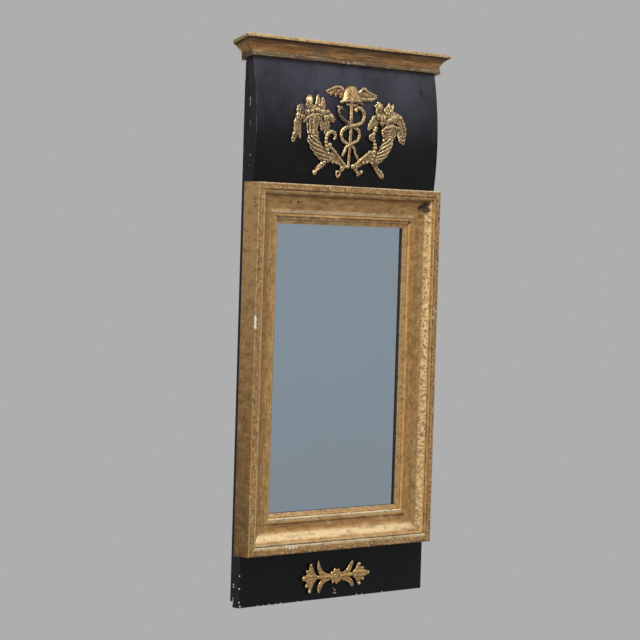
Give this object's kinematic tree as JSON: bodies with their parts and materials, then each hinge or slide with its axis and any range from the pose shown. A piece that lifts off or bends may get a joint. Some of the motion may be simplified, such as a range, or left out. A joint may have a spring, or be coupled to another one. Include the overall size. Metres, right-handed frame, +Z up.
{
  "type": "pier mirror",
  "caption": "Upright wall mirror in a gilt scooped frame, with a bowed black frieze, gilt cornice, gilt horn-of-plenty relief, black apron with leaf spray, and a hanging ring.",
  "frame": {"origin": "on the wall plane and the centre line, where the wall nail carries the hanging ring turned up", "axes": "+X to the viewer's right, +Y into the wall, +Z up; the glass faces -Y"},
  "size_m": [0.404, 0.041, 0.8],
  "materials": {
    "gilding": "old water gilding on wood, worn to the gesso, with worm holes",
    "black_paint": "satin black paint on wood",
    "bare_pine": "bare aged pine",
    "silvered_glass": "old silvered plate",
    "iron": "dark forged iron",
    "gilt_casting": "gilt relief casting with brown recesses"
  },
  "bodies": {
    "mirror": {"frame_rail_top": "gilding", "frame_rail_bottom": "gilding", "frame_stile_left": "gilding", "frame_stile_right": "gilding", "mirror_glass": "silvered_glass", "glazing_blocks": "bare_pine", "backboard_upper": "bare_pine", "backboard_lower": "bare_pine", "backboard_nails": "iron", "back_batten_left": "bare_pine", "back_batten_right": "bare_pine", "batten_nails_left": "iron", "batten_nails_right": "iron", "upper_tie": "bare_pine", "lower_tie": "bare_pine", "frieze_board": "black_paint", "frieze_rib_left": "bare_pine", "frieze_rib_right": "bare_pine", "hanger_rail": "bare_pine", "cornice_front": "gilding", "cornice_return_left": "gilding", "cornice_return_right": "gilding", "cornice_core": "bare_pine", "cornice_glue_blocks": "bare_pine", "apron_board": "black_paint", "hanger_eye": "iron", "caduceus": "gilt_casting", "winged_helmet": "gilt_casting", "cornucopia_left": "gilt_casting", "cornucopia_right": "gilt_casting", "rosette": "gilt_casting", "leaf_spray_left": "gilt_casting", "leaf_spray_right": "gilt_casting"},
    "ring": {"hanging_ring": "iron"}
  },
  "joints": [
    {"name": "ring_hinge", "type": "hinge", "parent": "mirror", "child": "ring", "pos_m": [0, -0.0054, -0.01775], "axis": [1, 0, 0], "range_deg": [0, 180]}
  ]
}
